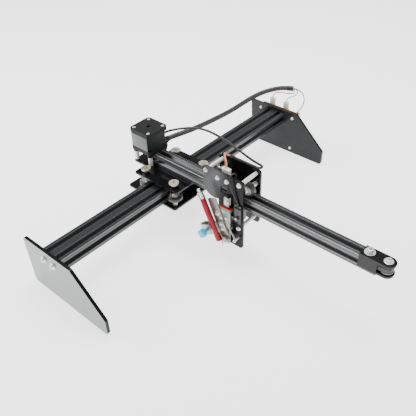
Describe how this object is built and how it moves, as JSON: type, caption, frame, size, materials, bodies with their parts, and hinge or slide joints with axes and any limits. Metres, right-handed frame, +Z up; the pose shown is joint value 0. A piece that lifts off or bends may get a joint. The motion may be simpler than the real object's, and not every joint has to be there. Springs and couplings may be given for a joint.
{
  "type": "desktop robot arm",
  "caption": "Cantilever two-axis desktop arm: belt-driven carriage on a rail between foot plates, long arm with a servo-lifted pen holder.",
  "frame": {"origin": "middle of the bounding box in X and Y, on the plane the end plates stand on", "axes": "+Y along the rail, from the near end plate to the one with the control board; +X along the arm, towards its free end; +Z up"},
  "size_m": [0.4384, 0.5456, 0.1552],
  "materials": {
    "black_extrusion": "black anodised, satin",
    "black_plate": "black anodised sheet, glossy",
    "foot_plate": "black, glossy",
    "steel": "zinc plated",
    "bright_spacer": "turned, satin",
    "wheel": "moulded, satin",
    "belt": "toothed, matte",
    "board": "lacquered circuit board",
    "board_parts": "moulded, satin",
    "motor_cap": "black, satin",
    "motor_stack": "laminated steel, satin",
    "pulley": "turned",
    "servo": "moulded, satin",
    "lift_rail": "ground",
    "guide_end": "moulded",
    "holder": "brushed",
    "knob": "moulded, satin",
    "pen_red": "metallic red lacquer",
    "pen_silver": "polished",
    "spring_steel": "drawn wire",
    "sleeve": "braided",
    "cable": "matte",
    "white_plastic": "moulded"
  },
  "bodies": {
    "base": {"rail": "black_extrusion", "near_end_plate": "foot_plate", "far_end_plate": "foot_plate", "end_plate_screws": "steel", "rail_belt": "belt", "control_board": "board", "board_fixings": "steel", "board_components": "board_parts", "board_leads": "cable", "cable_sleeve": "sleeve"},
    "carriage": {"upper_plate": "black_plate", "lower_plate": "black_plate", "wheel_axles": "bright_spacer", "rail_bearings": "steel", "arm": "black_extrusion", "motor_posts": "bright_spacer", "motor_caps": "motor_cap", "motor_body": "motor_stack", "carriage_screws": "steel", "arm_belt": "belt", "idler_block": "black_plate", "idler_bolts": "steel", "rail_motor": "motor_cap", "rail_idlers": "steel", "arm_cable": "cable"},
    "rail_wheel_back_near": {"rail_wheel_back_near": "wheel"},
    "rail_wheel_back_far": {"rail_wheel_back_far": "wheel"},
    "rail_wheel_front_near": {"rail_wheel_front_near": "wheel"},
    "rail_wheel_front_far": {"rail_wheel_front_far": "wheel"},
    "arm_drive": {"motor_shaft": "steel", "arm_pulley": "pulley"},
    "rail_drive": {"rail_pulley": "pulley"},
    "end_idler": {"end_idler": "pulley"},
    "pen_carriage": {"pen_front_plate": "black_plate", "pen_back_plate": "black_plate", "pen_posts": "bright_spacer", "pen_plate_screws": "steel", "pen_axles": "steel", "pen_bearings": "steel", "belt_clamp": "servo", "servo": "servo", "lift_rail": "lift_rail", "lift_rail_screws": "steel", "servo_plug": "white_plastic", "plug_leads": "cable", "lift_spring": "spring_steel"},
    "pen_wheel_left": {"pen_wheel_left": "wheel"},
    "pen_wheel_right": {"pen_wheel_right": "wheel"},
    "pen_wheel_lower": {"pen_wheel_lower": "wheel"},
    "servo_horn": {"servo_horn": "servo"},
    "pen_lift": {"guide_block": "lift_rail", "guide_ends": "guide_end", "holder_bar": "holder", "holder_screws": "steel", "pen_clamp": "spring_steel"},
    "thumbscrew": {"thumbscrew": "knob"},
    "pen": {"pen_barrel": "pen_red", "pen_point": "pen_silver", "pen_collar": "pen_silver"},
    "pen_button": {"pen_button": "pen_silver"}
  },
  "joints": [
    {"name": "carriage_slide", "type": "slide", "parent": "base", "child": "carriage", "axis": [0, 1, 0], "range_m": [-0.18, 0.21], "deforming": ["cable_sleeve"]},
    {"name": "pen_slide", "type": "slide", "parent": "carriage", "child": "pen_carriage", "axis": [1, 0, 0], "range_m": [-0.028, 0.16], "deforming": ["arm_cable"]},
    {"name": "rail_wheel_back_near_spin", "type": "hinge", "parent": "carriage", "child": "rail_wheel_back_near", "pos_m": [-0.17563, -0.0509, 0.0646], "axis": [0, 0, 1], "range_deg": [-1300, 1300]},
    {"name": "rail_wheel_back_far_spin", "type": "hinge", "parent": "carriage", "child": "rail_wheel_back_far", "pos_m": [-0.17563, 0.0151, 0.0646], "axis": [0, 0, 1], "range_deg": [-1300, 1300]},
    {"name": "rail_wheel_front_near_spin", "type": "hinge", "parent": "carriage", "child": "rail_wheel_front_near", "pos_m": [-0.11593, -0.0509, 0.0646], "axis": [0, 0, 1], "range_deg": [-1300, 1300]},
    {"name": "rail_wheel_front_far_spin", "type": "hinge", "parent": "carriage", "child": "rail_wheel_front_far", "pos_m": [-0.11593, 0.0151, 0.0646], "axis": [0, 0, 1], "range_deg": [-1300, 1300]},
    {"name": "arm_drive_spin", "type": "hinge", "parent": "carriage", "child": "arm_drive", "pos_m": [-0.19808, -0.0179, 0.0963], "axis": [0, 0, 1], "range_deg": [-1500, 300]},
    {"name": "rail_drive_spin", "type": "hinge", "parent": "carriage", "child": "rail_drive", "pos_m": [-0.18998, -0.0179, 0.0646], "axis": [0, 0, 1], "range_deg": [-1900, 2000]},
    {"name": "end_idler_spin", "type": "hinge", "parent": "carriage", "child": "end_idler", "pos_m": [0.20922, -0.0179, 0.0968], "axis": [0, 0, 1], "range_deg": [-1500, 300]},
    {"name": "pen_wheel_left_spin", "type": "hinge", "parent": "pen_carriage", "child": "pen_wheel_left", "pos_m": [-0.06277, -0.0179, 0.11405], "axis": [0, 1, 0], "range_deg": [-900, 900]},
    {"name": "pen_wheel_right_spin", "type": "hinge", "parent": "pen_carriage", "child": "pen_wheel_right", "pos_m": [-0.00278, -0.0179, 0.11405], "axis": [0, 1, 0], "range_deg": [-900, 900]},
    {"name": "pen_wheel_lower_spin", "type": "hinge", "parent": "pen_carriage", "child": "pen_wheel_lower", "pos_m": [-0.03277, -0.0179, 0.07435], "axis": [0, 1, 0], "range_deg": [-900, 900]},
    {"name": "pen_lift_slide", "type": "slide", "parent": "pen_carriage", "child": "pen_lift", "axis": [0, 0, 1], "range_m": [0, 0.0048], "stiffness_N_per_m": 40, "springref_m": -0.01, "deforming": ["lift_spring"]},
    {"name": "servo_horn_turn", "type": "hinge", "parent": "pen_carriage", "child": "servo_horn", "pos_m": [-0.00328, -0.0426, 0.0764], "axis": [0, 1, 0], "range_deg": [0, 46]},
    {"name": "thumbscrew_turn", "type": "hinge", "parent": "pen_lift", "child": "thumbscrew", "pos_m": [-0.04331, -0.05446, 0.0456], "axis": [0, 1, 0], "range_deg": [0, 720]},
    {"name": "pen_in_clamp", "type": "slide", "parent": "pen_lift", "child": "pen", "axis": [-0.4462, 0, 0.8949], "range_m": [0, 0.015]},
    {"name": "pen_button_press", "type": "slide", "parent": "pen", "child": "pen_button", "axis": [0.4462, 0, -0.8949], "range_m": [0, 0.004], "stiffness_N_per_m": 200}
  ],
  "couplings": [
    {"joint": "rail_wheel_back_near_spin", "follows": "carriage_slide", "rad_per_m": -94.3},
    {"joint": "rail_wheel_back_far_spin", "follows": "carriage_slide", "rad_per_m": -94.3},
    {"joint": "rail_wheel_front_near_spin", "follows": "carriage_slide", "rad_per_m": 94.3},
    {"joint": "rail_wheel_front_far_spin", "follows": "carriage_slide", "rad_per_m": 94.3},
    {"joint": "rail_drive_spin", "follows": "carriage_slide", "rad_per_m": 157.08},
    {"joint": "arm_drive_spin", "follows": "pen_slide", "rad_per_m": -157.08},
    {"joint": "end_idler_spin", "follows": "pen_slide", "rad_per_m": -157.08},
    {"joint": "pen_wheel_left_spin", "follows": "pen_slide", "rad_per_m": 94.3},
    {"joint": "pen_wheel_right_spin", "follows": "pen_slide", "rad_per_m": 94.3},
    {"joint": "pen_wheel_lower_spin", "follows": "pen_slide", "rad_per_m": -94.3},
    {"joint": "servo_horn_turn", "follows": "pen_lift_slide", "rad_per_m": 165}
  ]
}
